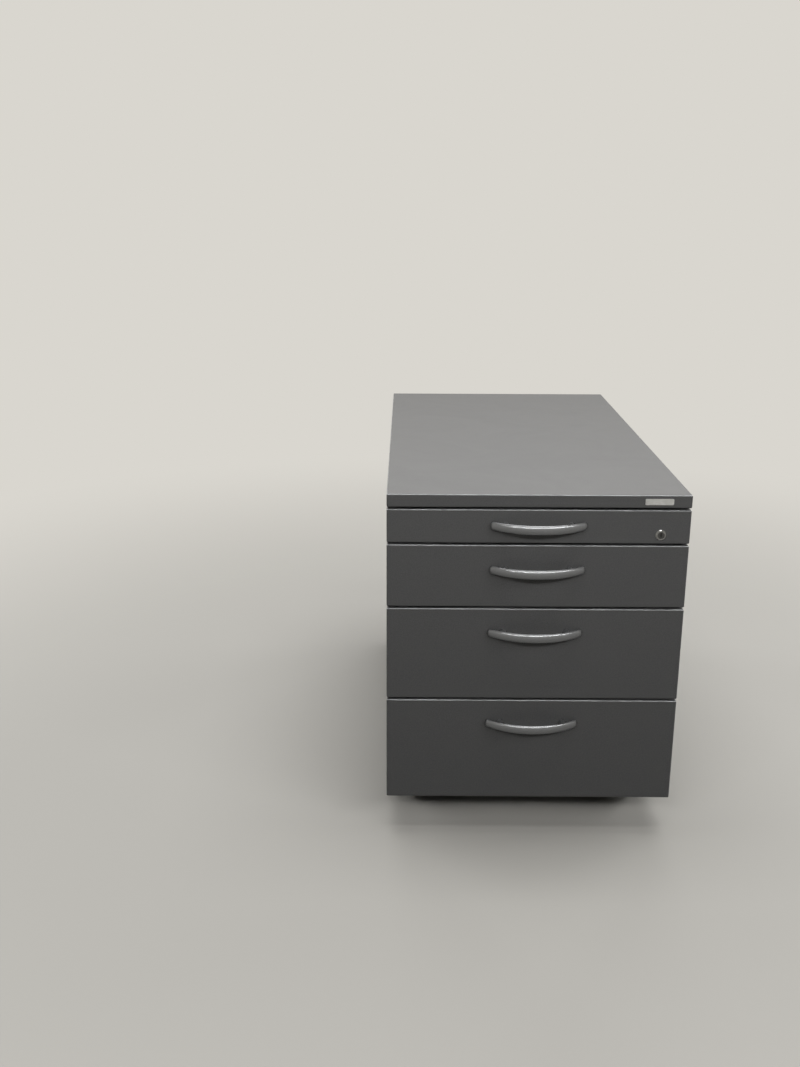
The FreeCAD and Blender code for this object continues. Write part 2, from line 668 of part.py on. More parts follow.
def make_lock_plug():
    """Plug with its keyhole, the disc behind it and the pin that throws the bolt."""
    face = FRONT_Y - LOCK_RING_PROUD + LOCK_PLUG_SINK
    disc_y = FRONT_REAR_Y + LOCK_CASE_WALL + RUNNING_GAP
    plug = along_lock(face, disc_y, LOCK_PLUG_RADIUS)
    disc = along_lock(disc_y, disc_y + LOCK_DISC, DISC_RADIUS)
    pin = along_lock(disc_y + LOCK_DISC, BOLT_REAR_Y - RUNNING_GAP, LOCK_PIN_RADIUS, PIN_X, PIN_Z)
    keyhole = block((LOCK_X - KEYHOLE_WIDTH / 2, LOCK_X + KEYHOLE_WIDTH / 2),
                    (face, face + KEYHOLE_DEPTH),
                    (LOCK_Z - KEYHOLE_HEIGHT / 2, LOCK_Z + KEYHOLE_HEIGHT / 2))
    return cut_out(joined(plug, disc, pin), [keyhole])


def make_lock_bolt():
    """Sliding bolt with a wedge that lifts the locking bar and a slot for the pin."""
    y = (BOLT_Y, BOLT_REAR_Y)
    tongue = block((BOLT_START_X, BOLT_END_X), y, (BOLT_LOW, BOLT_HIGH))
    tail_end = PIN_X + SLOT_HALF + LOCK_CASE_WALL
    tail = block((BOLT_START_X, tail_end), y, (BOLT_LOW, TAIL_HIGH))
    slot = block((PIN_X - SLOT_HALF, PIN_X + SLOT_HALF), y, (PIN_Z - SLOT_HALF, TAIL_HIGH))
    rise = BOLT_HEIGHT - BOLT_NOSE
    corner = Vec(BOLT_END_X, BOLT_Y, BOLT_HIGH)
    wedge = Part.makePolygon([corner, corner.sub(Vec(rise, 0, 0)), corner.sub(Vec(0, 0, rise)),
                              corner])
    wedge = Part.Face(wedge).extrude(Vec(0, BOLT_THICK, 0))
    return cut_out(joined(tongue, tail), [slot, wedge])


def make_lock_bar():
    """Flat bar in the right side panel's groove, with a stud for each steel drawer."""
    bar = block((INNER_X + BAR_PLAY, INNER_X + BAR_PLAY + BAR_THICK), (BAR_Y, BAR_REAR_Y),
                (BAR_LOW, BAR_HIGH))
    window = block((INNER_X, INNER_X + BAR_THICK + BAR_PLAY), (BAR_Y, BOLT_REAR_Y + RUNNING_GAP),
                   (WINDOW_LOW, WINDOW_HIGH))
    bar = cut_out(bar, [window])
    studs = [rod(Vec(INNER_X + BAR_PLAY, STUD_Y, z), Vec(INNER_X - STUD_LENGTH, STUD_Y, z),
                 STUD_RADIUS) for z in stud_levels]
    return joined(bar, *studs)


# Castors
def across(place, start, end, radius):
    """Round bar on a castor's axle line between two distances from its middle."""
    axle = place.add(Vec(0, CASTOR_TRAIL, WHEEL_RADIUS))
    return rod(axle.add(Vec(start, 0, 0)), axle.add(Vec(end, 0, 0)), radius)


def make_castor_plates():
    plates = []
    for place in castor_places.values():
        half = PLATE_SIZE / 2
        plate = block((place.x - half, place.x + half), (place.y - half, place.y + half),
                      (PLATE_LOW, CASTOR_HEIGHT))
        stem = rod(place.add(Vec(0, 0, PLATE_LOW)), place.add(Vec(0, 0, STEM_LOW)), STEM_RADIUS)
        plates.append(cut_out(joined(plate, stem), castor_holes))
    return group(plates)


def make_castor_hood(place):
    """Hood over the twin wheels, with the web between them and the swivel boss."""
    upper = block((place.x - TWIN_HALF, place.x + TWIN_HALF),
                  (place.y + CASTOR_TRAIL - HOOD_OUTER, place.y + CASTOR_TRAIL + HOOD_OUTER),
                  (WHEEL_RADIUS, WHEEL_RADIUS + HOOD_OUTER))
    cover = across(place, -TWIN_HALF, TWIN_HALF, HOOD_OUTER)
    cover = cover.cut(across(place, -TWIN_HALF, TWIN_HALF, HOOD_INNER)).common(upper)
    web_space = block((place.x - HOOD_WEB / 2, place.x + HOOD_WEB / 2),
                      (place.y + CASTOR_TRAIL - HOOD_OUTER, place.y + CASTOR_TRAIL + HOOD_OUTER),
                      (WHEEL_RADIUS - HOOD_SKIRT, WHEEL_RADIUS + HOOD_OUTER))
    web = across(place, -HOOD_WEB / 2, HOOD_WEB / 2, HOOD_OUTER).common(web_space)
    boss = rod(place.add(Vec(0, 0, BOSS_LOW)), place.add(Vec(0, 0, BOSS_HIGH)), BOSS_RADIUS)
    neck = block((place.x - HOOD_WEB / 2, place.x + HOOD_WEB / 2),
                 (place.y - BOSS_RADIUS / 2, place.y + BOSS_RADIUS),
                 (WHEEL_RADIUS, BOSS_LOW + BOSS_FLOOR))
    stem_hole = rod(place.add(Vec(0, 0, STEM_LOW - RUNNING_GAP)),
                    place.add(Vec(0, 0, BOSS_HIGH)), STEM_RADIUS + FIT)
    axle_hole = across(place, -HOOD_WEB / 2, HOOD_WEB / 2, AXLE_RADIUS + FIT)
    return cut_out(joined(cover, web, boss, neck), [stem_hole, axle_hole])


def make_castor_axle(place):
    reach = TWIN_HALF - WHEEL_CAP - RUNNING_GAP
    return across(place, -reach, reach, AXLE_RADIUS)


def make_wheel(place, side):
    near = side * WHEEL_GAP / 2
    far = side * TWIN_HALF
    wheel = across(place, near, far, WHEEL_RADIUS)
    rims = [edge for edge in wheel.Edges if len(edge.Vertexes) == 1]
    wheel = wheel.makeFillet(WHEEL_ROUND, rims)
    recess_end = near + side * WHEEL_RECESS
    recess = across(place, near, recess_end, WHEEL_RADIUS - WHEEL_RIM)
    recess = recess.cut(across(place, near, recess_end, WHEEL_HUB_RADIUS))
    bore = across(place, near, far - side * WHEEL_CAP, AXLE_RADIUS + FIT)
    dish = across(place, far - side * WHEEL_CAP / 2, far, WHEEL_RADIUS - WHEEL_RIM)
    dish = dish.cut(across(place, far - side * WHEEL_CAP / 2, far, WHEEL_HUB_RADIUS))
    return cut_out(wheel, [recess, bore, dish])


# All nodes by name
nodes = {
    "top_panel": make_top_panel(),
    "base_panel": make_base_panel(),
    "back_panel": make_back_panel(),
    "badge_plate": make_badge(),
    "front_bumpers": make_bumpers(),
    "carcase_dowels": group(dowel(seat, way, DOWEL_RADIUS, 0) for seat, way in dowel_seats()),
    "carcase_screws": make_carcase_screws(),
    "slide_outer_rails": make_outer_rails(),
    "lock_case": make_lock_case(),
    "lock_plug": make_lock_plug(),
    "lock_bolt": make_lock_bolt(),
    "lock_bar": make_lock_bar(),
    "castor_plates": make_castor_plates(),
    "drawer_1_tray": make_tray(),
}
for side in SIDES:
    nodes["side_panel_" + SIDE_NAMES[side]] = make_side_panel(side)
for number in range(len(FRONT_HEIGHTS)):
    drawer = "drawer_%d_" % (number + 1)
    nodes[drawer + "front"] = make_front(number)
    nodes[drawer + "handle"] = make_handle(number)
    nodes[drawer + "screws"] = make_drawer_screws(number)
    nodes[drawer + "inner_rails"] = make_inner_rails(number)
    nodes[drawer + "middle_rails"] = make_middle_rails(number)
    nodes[drawer + "glides"] = make_glides(number)
    if number > 0:
        nodes[drawer + "box"] = make_box(number)
for name, place in castor_places.items():
    nodes["castor_%s_hood" % name] = make_castor_hood(place)
    nodes["castor_%s_axle" % name] = make_castor_axle(place)
    for side in SIDES:
        nodes["castor_%s_wheel_%s" % (name, SIDE_NAMES[side])] = make_wheel(place, side)

os.makedirs("parts", exist_ok=True)
for name, shape in nodes.items():
    shape.exportStep("parts/%s.step" % name)
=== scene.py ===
# %% [markdown]
# # Rolling drawer cabinet
# A low office cabinet on castors: anthracite boards, four drawers with bow handles, a lock and a
# small bare badge. Its solids come from a CAD model and are loaded here as a fixed frame. This
# lesson gives each of them its finish, and rebuilds the few small pieces that a finer mesh serves
# better. Blender works in metres, so a size in millimetres is multiplied by MM.

import json
import math

import bmesh
import bpy
from mathutils import Matrix, Vector


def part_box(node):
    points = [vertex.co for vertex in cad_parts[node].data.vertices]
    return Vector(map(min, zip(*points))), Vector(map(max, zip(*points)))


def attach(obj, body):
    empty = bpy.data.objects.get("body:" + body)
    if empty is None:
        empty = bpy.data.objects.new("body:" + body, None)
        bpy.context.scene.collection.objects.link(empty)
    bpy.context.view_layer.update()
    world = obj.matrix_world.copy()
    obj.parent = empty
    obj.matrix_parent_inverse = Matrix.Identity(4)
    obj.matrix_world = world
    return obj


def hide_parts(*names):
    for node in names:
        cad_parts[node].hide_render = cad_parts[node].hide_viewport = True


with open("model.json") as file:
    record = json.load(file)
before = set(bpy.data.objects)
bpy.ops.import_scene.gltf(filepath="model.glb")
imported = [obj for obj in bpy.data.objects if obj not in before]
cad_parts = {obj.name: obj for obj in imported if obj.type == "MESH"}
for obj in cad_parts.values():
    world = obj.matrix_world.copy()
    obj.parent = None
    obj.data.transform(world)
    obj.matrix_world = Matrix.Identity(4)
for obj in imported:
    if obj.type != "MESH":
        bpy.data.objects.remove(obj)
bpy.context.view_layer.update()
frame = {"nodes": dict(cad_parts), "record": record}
MM = 0.001
DRAWERS = range(1, 5)
nodes = frame["nodes"]
record = frame["record"]
body_of_node = {node: body for body, members in record["behaviour"]["bodies"].items()
                for node in members}
slot_of_node = {row["node"]: row["material_slot"] for row in record["subparts"]}

# %% [markdown]
# ## Small tools
# Colours are written as sRGB hex values, as a paint chart gives them, and Blender's sockets want
# linear light, so one function converts them. Another adds a node, sets its options and connects its
# inputs. The nodes that come up again and again get a short function each: arithmetic, parts of a
# vector, a change of range, a mix, a noise and a bump. Noise takes its scale in repeats per metre, so
# a real size in millimetres is turned into that scale. Its values lie mostly between 0.3 and 0.7, so
# the finishes carry a range of about that width over to the one they need.

# %% Tools for node trees
def linear(hex_colour):
    """Linear RGBA of an sRGB colour written as #rrggbb."""
    channels = [int(hex_colour[i:i + 2], 16) / 255 for i in (1, 3, 5)]
    curve = [c / 12.92 if c <= 0.04045 else ((c + 0.055) / 1.055) ** 2.4 for c in channels]
    return (*curve, 1.0)


def add(tree, kind, inputs=None, **settings):
    """Adds a node, sets its options, and gives each input a value or another node's output."""
    node = tree.nodes.new(kind)
    for option, value in settings.items():
        setattr(node, option, value)
    for socket, value in (inputs or {}).items():
        if isinstance(value, bpy.types.NodeSocket):
            tree.links.new(value, node.inputs[socket])
        else:
            node.inputs[socket].default_value = value
    return node


def maths(tree, operation, *values):
    """Result of arithmetic on numbers or outputs."""
    return add(tree, "ShaderNodeMath", dict(enumerate(values)), operation=operation).outputs[0]


def combined(tree, **parts):
    """Vector made of any of X, Y and Z."""
    return add(tree, "ShaderNodeCombineXYZ", parts).outputs[0]


def split(tree, vector):
    """X, Y and Z of a vector."""
    return add(tree, "ShaderNodeSeparateXYZ", {0: vector}).outputs


def ranged(tree, value, low, high, new_low=0.0, new_high=1.0):
    """Value carried from one range over to another and held inside it."""
    ends = dict(enumerate((value, low, high, new_low, new_high)))
    return add(tree, "ShaderNodeMapRange", ends).outputs[0]


def mixed(tree, share, first, second):
    """Mix of two numbers, which the Mix node takes in sockets 2 and 3."""
    return add(tree, "ShaderNodeMix", {0: share, 2: first, 3: second}).outputs[0]


def blend(tree, share, first, second):
    """Mix of two colours, hex values or outputs, which the Mix node takes in sockets 6 and 7."""
    first, second = [linear(c) if isinstance(c, str) else c for c in (first, second)]
    return add(tree, "ShaderNodeMix", {0: share, 6: first, 7: second}, data_type="RGBA").outputs[2]


def per_mm(size):
    """Texture scale for a feature of this many millimetres."""
    return 1 / (size * MM)


def noise(tree, place, size_mm, detail, roughness=0.5, distortion=0.0):
    """Noise with features of one size."""
    return add(tree, "ShaderNodeTexNoise",
               {"Vector": place, "Scale": per_mm(size_mm), "Detail": detail, "Roughness": roughness,
                "Distortion": distortion}).outputs[0]


def streaks(tree, place, sizes_mm):
    """Noise with features of three sizes, along X, Y and Z."""
    stretched = add(tree, "ShaderNodeMapping",
                    {"Vector": place, "Scale": [per_mm(size) for size in sizes_mm]}).outputs[0]
    return add(tree, "ShaderNodeTexNoise",
               {"Vector": stretched, "Scale": 1.0, "Detail": 3.0}).outputs[0]


def axis_distance(tree, place, centre, across):
    """Distance from an axis through a centre. Across is 1 in the two directions that count."""
    centred = add(tree, "ShaderNodeMapping", {"Vector": place, "Location": -centre}).outputs[0]
    flat = add(tree, "ShaderNodeVectorMath", {0: centred, 1: across}, operation="MULTIPLY").outputs[0]
    return add(tree, "ShaderNodeVectorMath", {0: flat}, operation="LENGTH").outputs[1]


def bump(tree, height, strength, depth_mm, under=None):
    """Normal of a surface raised by a height, on top of another bump if one is given."""
    inputs = {"Height": height, "Strength": strength, "Distance": depth_mm * MM}
    if under is not None:
        inputs["Normal"] = under
    return add(tree, "ShaderNodeBump", inputs).outputs[0]


def start_finish(name, colour, roughness, metallic=0.0, ior=1.5):
    """New material with its plain values set: gives its tree, shader and Object coordinates."""
    material = bpy.data.materials.new(name)
    material.use_nodes = True
    tree = material.node_tree
    shader = tree.nodes["Principled BSDF"]
    shader.inputs["Base Color"].default_value = linear(colour)
    shader.inputs["Roughness"].default_value = roughness
    shader.inputs["Metallic"].default_value = metallic
    shader.inputs["IOR"].default_value = ior
    place = add(tree, "ShaderNodeTexCoord").outputs["Object"]
    return material, tree, shader, place


def wire(tree, shader, colour, sheen, normal):
    """Connects what was worked out for a finish to its shader."""
    tree.links.new(colour, shader.inputs["Base Color"])
    tree.links.new(sheen, shader.inputs["Roughness"])
    tree.links.new(normal, shader.inputs["Normal"])


finishes = {}
print("sRGB grey #808080 is linear", round(linear("#808080")[0], 3))

# %% [markdown]
# ## Melamine board
# The boards are chipboard with a layer of melamine resin, pressed against a plate with a fine pearl
# grain. The eye sees a dark neutral grey that is almost even, a soft sheen that turns into a clear
# reflection at a flat angle, and faint marks of use. The edges carry a plastic edging, rounded
# with a radius of two millimetres, which is smoother. Its colour is paler in patches, partly as wear
# and partly as painted highlight, most of all on upper edges, which light from above would catch.
# The rounding is found from the normal: it is where the surface faces none of the three axes.

# %% Anthracite melamine
PEARL_MM = 1.8          # the real grain is about 0.6 mm, drawn coarser so that it shows
CLOUD_MM = 26.0
SMEAR_MM = 150.0
DARK_SPECK = "#363636"
PALE_SPECK = "#414141"
UNEVEN_GREY = "#3e3e3d"
WORN_AND_HIGHLIT_GREY = "#9a9c9d"
BOARD_SHEEN = (0.43, 0.47)
EDGING_SHEEN = 0.28
SIDE_EDGE_SHARE = 0.12   # paleness of the edges that don't face up, as a share of those that do

material, tree, shader, place = start_finish("anthracite_melamine", "#3b3b3b", roughness=0.45,
                                             ior=1.36)
pearl = noise(tree, place, PEARL_MM, detail=3.0, roughness=0.6)
cloud = noise(tree, place, CLOUD_MM, detail=4.0)
smear = noise(tree, place, SMEAR_MM, detail=5.0, roughness=0.65, distortion=0.8)
grey = blend(tree, ranged(tree, pearl, 0.3, 0.7), DARK_SPECK, PALE_SPECK)
uneven = ranged(tree, cloud, 0.4, 0.75, 0.0, 0.35)
grey = blend(tree, uneven, grey, UNEVEN_GREY)

facing = add(tree, "ShaderNodeTexCoord").outputs["Normal"]
# Painted highlight: edges that face up get the most of the pale edge colour, as if light from above
# caught them
lit_from_above = ranged(tree, split(tree, facing)["Z"], 0.1, 0.6, SIDE_EDGE_SHARE, 1.0)
facing = add(tree, "ShaderNodeVectorMath", {0: facing}, operation="ABSOLUTE").outputs[0]
sides = split(tree, facing)
widest = maths(tree, "MAXIMUM", sides["X"], sides["Y"])
widest = maths(tree, "MAXIMUM", widest, sides["Z"])
edging = ranged(tree, widest, 0.76, 0.94, 1.0, 0.0)
touched = ranged(tree, cloud, 0.38, 0.62, 0.7, 1.0)
worn_and_highlit = maths(tree, "MULTIPLY", edging, touched)
worn_and_highlit = maths(tree, "MULTIPLY", worn_and_highlit, lit_from_above)
# The pale edge colour is partly wear and partly painted highlight on the rounded edges
grey = blend(tree, worn_and_highlit, grey, WORN_AND_HIGHLIT_GREY)

sheen = ranged(tree, smear, 0.3, 0.7, *BOARD_SHEEN)
sheen = mixed(tree, edging, sheen, EDGING_SHEEN)
grain = bump(tree, pearl, strength=0.16, depth_mm=0.12)
wire(tree, shader, grey, sheen, grain)
finishes["melamine"] = material
print("finish", material.name, "with", len(tree.nodes), "nodes")

# %% [markdown]
# ## Silver lacquer
# The handles are cast zinc, sprayed with a silver lacquer: aluminium flakes in a clear resin. The
# flakes lie almost flat, so the eye sees a grey metal with a broad highlight, a fine sparkle and a
# slightly wavy skin from the casting. The resin between them scatters some light, so the finish is
# not fully metallic. A metal keeps the default IOR, because its colour already says how much it
# reflects.

# %% Silver lacquer for the handles
CAST_MM = 14.0
FLAKE_MM = 0.7          # real flakes are about 0.03 mm, drawn coarser so that they show
LACQUER_SHEEN = (0.28, 0.3)

material, tree, shader, place = start_finish("silver_lacquer", "#6f7071", roughness=0.29,
                                             metallic=0.78)
wavy = noise(tree, place, CAST_MM, detail=2.0)
flake = noise(tree, place, FLAKE_MM, detail=2.0)
tone = blend(tree, ranged(tree, flake, 0.35, 0.65), "#6a6b6c", "#747576")
sheen = ranged(tree, wavy, 0.3, 0.7, *LACQUER_SHEEN)
skin = bump(tree, wavy, strength=0.03, depth_mm=0.3)
skin = bump(tree, flake, strength=0.012, depth_mm=0.02, under=skin)
wire(tree, shader, tone, sheen, skin)
finishes["handle_metal"] = material
print("finish", material.name)

# %% [markdown]
# ## Turned nickel
# The lock's ring and plug are turned brass plated with nickel. A lathe leaves rings round the axis,
# so the pattern needs the lock's own centre: a Mapping node moves it there, and the distance from
# the axis drives fine rings in the bump. The ring is bright. The plug's face is duller, and its
# colours are darker as painted shade, standing for the shade in its recess behind the ring.

# %% Turned nickel for the lock
TURNED_MM = 0.5
HAZE_MM = 2.5


def turned_nickel(name, clean_colour, dull_colour, smooth, rough):
    """Nickel with rings round the lock's axis and a haze of wear."""
    low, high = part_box("lock_plug")
    material, tree, shader, place = start_finish(name, clean_colour, smooth, metallic=1.0)
    radius = axis_distance(tree, place, (low + high) / 2, across=(1, 0, 1))
    turns = maths(tree, "MULTIPLY", radius, 2 * math.pi / (TURNED_MM * MM))
    rings = maths(tree, "SINE", turns)
    haze = ranged(tree, noise(tree, place, HAZE_MM, detail=3.0), 0.3, 0.7)
    tone = blend(tree, haze, clean_colour, dull_colour)
    sheen = ranged(tree, haze, 0.0, 1.0, smooth, rough)
    wire(tree, shader, tone, sheen, bump(tree, rings, strength=0.08, depth_mm=0.03))
    print("finish", name)
    return material


finishes["lock_nickel"] = turned_nickel("bright_nickel", "#8a8a89", "#757574", smooth=0.12, rough=0.2)
# The plug's colours are darker than the ring's as painted shade for its sunken face
shaded_plug_nickel = turned_nickel("shade_darkened_nickel", "#565554", "#40403f", smooth=0.3, rough=0.42)

# %% [markdown]
# ## Streaked metals
# Rolled, drawn and brushed metal have fine lines in one direction. Noise that is stretched along
# that direction gives them, so three metals share one function: zinc-plated steel with lines along
# the rails, the locking bar of drawn aluminium, and the badge, brushed from side to side.

# %% Zinc-plated steel and aluminium
PATCH_MM = 7.0
PATCH_SHARE = 0.35


def streaked_metal(name, low_colour, high_colour, streak_mm, smooth, rough):
    """Metal with lines whose length and width along X, Y and Z are given in millimetres."""
    material, tree, shader, place = start_finish(name, low_colour, rough, metallic=1.0)
    lines = streaks(tree, place, streak_mm)
    patch = noise(tree, place, PATCH_MM, detail=2.0)
    both = ranged(tree, mixed(tree, PATCH_SHARE, lines, patch), 0.35, 0.65)
    tone = blend(tree, both, low_colour, high_colour)
    sheen = ranged(tree, both, 0.0, 1.0, smooth, rough)
    wire(tree, shader, tone, sheen, bump(tree, lines, strength=0.1, depth_mm=0.04))
    print("finish", name)
    return material


finishes["zinc_steel"] = streaked_metal("zinc_plated_steel", "#8d9193", "#a5a9ab",
                                        streak_mm=(0.6, 18.0, 0.6), smooth=0.42, rough=0.52)
finishes["bar_aluminium"] = streaked_metal("drawn_aluminium", "#b4b5b6", "#c8c9c9",
                                           streak_mm=(0.5, 0.5, 25.0), smooth=0.3, rough=0.4)
finishes["badge_metal"] = streaked_metal("brushed_aluminium", "#a8a9a8", "#c3c4c3",
                                         streak_mm=(14.0, 0.4, 0.4), smooth=0.28, rough=0.42)

# %% [markdown]
# ## Grained plastics, rubber, paint and nylon
# The tray, the castors and the bumpers are moulded, and their moulds are sparked or etched to a fine
# grain that hides flow marks. Powder coat melts into a skin like orange peel. All of these are one
# colour with a grain of their own size and a sheen that wanders a little, so one function makes
# them.

# %% Moulded and coated finishes
WANDER_MM = 35.0


def grained(name, low_colour, high_colour, grain_mm, depth_mm, smooth, rough, ior=1.5):
    """Even colour with a fine raised grain and a slightly uneven sheen."""
    material, tree, shader, place = start_finish(name, low_colour, rough, ior=ior)
    grain = noise(tree, place, grain_mm, detail=2.5)
    wander = noise(tree, place, WANDER_MM, detail=4.0)
    both = ranged(tree, mixed(tree, 0.5, grain, wander), 0.38, 0.62)
    tone = blend(tree, both, low_colour, high_colour)
    sheen = ranged(tree, wander, 0.3, 0.7, smooth, rough)
    wire(tree, shader, tone, sheen, bump(tree, grain, strength=0.3, depth_mm=depth_mm))
    print("finish", name)
    return material


finishes["tray_plastic"] = grained("moulded_polystyrene", "#1d1e1f", "#232425", grain_mm=0.9,
                                   depth_mm=0.08, smooth=0.48, rough=0.53, ior=1.59)
finishes["drawer_paint"] = grained("black_powder_coat", "#222324", "#282929", grain_mm=1.5,
                                   depth_mm=0.1, smooth=0.44, rough=0.48)
finishes["grey_rubber"] = grained("grey_rubber", "#5d5e60", "#6b6c6e", grain_mm=0.8,
                                  depth_mm=0.06, smooth=0.65, rough=0.8, ior=1.52)
finishes["castor_plastic"] = grained("black_nylon", "#1d1e1f", "#262728", grain_mm=0.7,
                                     depth_mm=0.06, smooth=0.4, rough=0.5, ior=1.53)
finishes["glide_nylon"] = grained("natural_nylon", "#d6d2c5", "#e2dfd4", grain_mm=1.2,
                                  depth_mm=0.04, smooth=0.38, rough=0.48, ior=1.53)

# %% [markdown]
# ## Beech
# Dowels are turned from beech: a pale brown with short darker flecks. They sit inside the boards, so
# the finish matters only when the cabinet is taken apart.

# %% Beech for the dowels
FLECK_MM = (3.0, 0.8, 3.0)

material, tree, shader, place = start_finish("beech", "#c49a6c", roughness=0.6, ior=1.45)
fleck = streaks(tree, place, FLECK_MM)
tone = blend(tree, ranged(tree, fleck, 0.35, 0.7), "#caa274", "#a97c4e")
pores = bump(tree, fleck, strength=0.2, depth_mm=0.1)
tree.links.new(tone, shader.inputs["Base Color"])
tree.links.new(pores, shader.inputs["Normal"])
finishes["beech"] = material
print("finish", material.name)

# %% [markdown]
# ## Wheels
# A castor wheel is black nylon with a softer grey tread round it, so that it doesn't mark the floor.
# The tread is a band at the rim, found by the distance from the axle. Each pair of wheels has its own
# axle, so each gets its own copy of the finish with a Mapping node set to that axle.

# %% Wheel nylon with a softer tread
TREAD_INNER_MM = 21.0
TREAD_SEAM_MM = 0.3
WHEEL_GRAIN_MM = 0.8
DUST_MM = 6.0
NYLON_SHEEN = 0.4
TREAD_SHEEN = 0.62


def wheel_finish(castor):
    """Black nylon inside, grey tread outside, centred on one castor's axle."""
    low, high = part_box(castor + "_axle")
    material, tree, shader, place = start_finish(castor + "_nylon", "#1f2021", roughness=0.45,
                                                 ior=1.53)
    radius = axis_distance(tree, place, (low + high) / 2, across=(0, 1, 1))
    tread = ranged(tree, radius, TREAD_INNER_MM * MM, (TREAD_INNER_MM + TREAD_SEAM_MM) * MM)
    grain = noise(tree, place, WHEEL_GRAIN_MM, detail=3.0)
    dust = ranged(tree, noise(tree, place, DUST_MM, detail=4.0), 0.45, 0.75, 0.0, 0.5)
    body = blend(tree, grain, "#1b1c1d", "#252627")
    band = blend(tree, dust, "#3c3d3f", "#5a5854")
    colour = blend(tree, tread, body, band)
    sheen = ranged(tree, tread, 0.0, 1.0, NYLON_SHEEN, TREAD_SHEEN)
    wire(tree, shader, colour, sheen, bump(tree, grain, strength=0.25, depth_mm=0.06))
    return material


CASTORS = ["castor_%s_%s" % (end, side) for end in ("front", "rear") for side in ("left", "right")]
wheel_finishes = {castor: wheel_finish(castor) for castor in CASTORS}
print("finishes for", len(wheel_finishes), "pairs of wheels")

# %% [markdown]
# ## Dress the solids
# The record says which slot each solid belongs to, so the finishes go on by slot. A solid keeps its
# mesh: only what its material slot holds is changed.

# %% Finishes by slot
for name, node in nodes.items():
    slot = slot_of_node[name]
    if slot == "wheel_plastic":
        node.material_slots[0].material = wheel_finishes[name.split("_wheel_")[0]]
    else:
        node.material_slots[0].material = finishes[slot]
# The plug gets the nickel that is darkened as painted shade
nodes["lock_plug"].material_slots[0].material = shaded_plug_nickel
print("dressed", len(nodes), "solids in", len(set(slot_of_node.values())), "slots")

# %% [markdown]
# ## A way to run Geometry Nodes
# Handles and screws repeat, so a tree of Geometry Nodes makes each kind once, with its sizes as named
# inputs. The tree runs on a throwaway object, and its result is kept as a plain mesh, because an
# exported model can't hold live trees or instances.

# %% Tools for Geometry Nodes
def start_tree(name, inputs):
    """New tree with named inputs of the given kinds: gives the tree and its input sockets."""
    tree = bpy.data.node_groups.new(name, "GeometryNodeTree")
    tree.interface.new_socket("Geometry", in_out="INPUT", socket_type="NodeSocketGeometry")
    for label, kind in inputs.items():
        tree.interface.new_socket(label, in_out="INPUT", socket_type="NodeSocket" + kind)
    tree.interface.new_socket("Geometry", in_out="OUTPUT", socket_type="NodeSocketGeometry")
    return tree, add(tree, "NodeGroupInput").outputs


def grow(name, tree, values, points=None):
    """Runs a tree and keeps what it makes as a plain mesh object at the origin."""
    seed = bpy.data.objects.new(name + "_seed", points or bpy.data.meshes.new(name + "_seed"))
    bpy.context.scene.collection.objects.link(seed)
    modifier = seed.modifiers.new(tree.name, "NODES")
    modifier.node_group = tree
    for socket in tree.interface.items_tree:
        if socket.in_out == "INPUT" and socket.name in values:
            modifier[socket.identifier] = values[socket.name]
    ready = seed.evaluated_get(bpy.context.evaluated_depsgraph_get())
    piece = bpy.data.objects.new(name, bpy.data.meshes.new_from_object(ready))
    bpy.context.scene.collection.objects.link(piece)
    bpy.data.objects.remove(seed)
    return piece


def settle(piece, node):
    """The piece stands for a CAD node: it rides on the same body, and the CAD node is hidden."""
    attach(piece, body_of_node[node])
    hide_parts(node)


# %% [markdown]
# ## Bow handles
# Each handle is a cast bar that bows out from the drawer on two round posts, a little less tall at
# its ends than in the middle. A sweep suits it: an arc gives the bow, an upright ellipse is swept
# along it, and the last millimetres draw in to a blunt rounded end. That end is a superellipse, which
# is squarer than an ellipse when its power is above 2.

# %% Tree of the bow handle
ARC_POINTS = 401
BAR_SIDES = 40
POST_SIDES = 32
TIP_SHARE = 0.05        # of the section, kept at the very end so that it can be closed


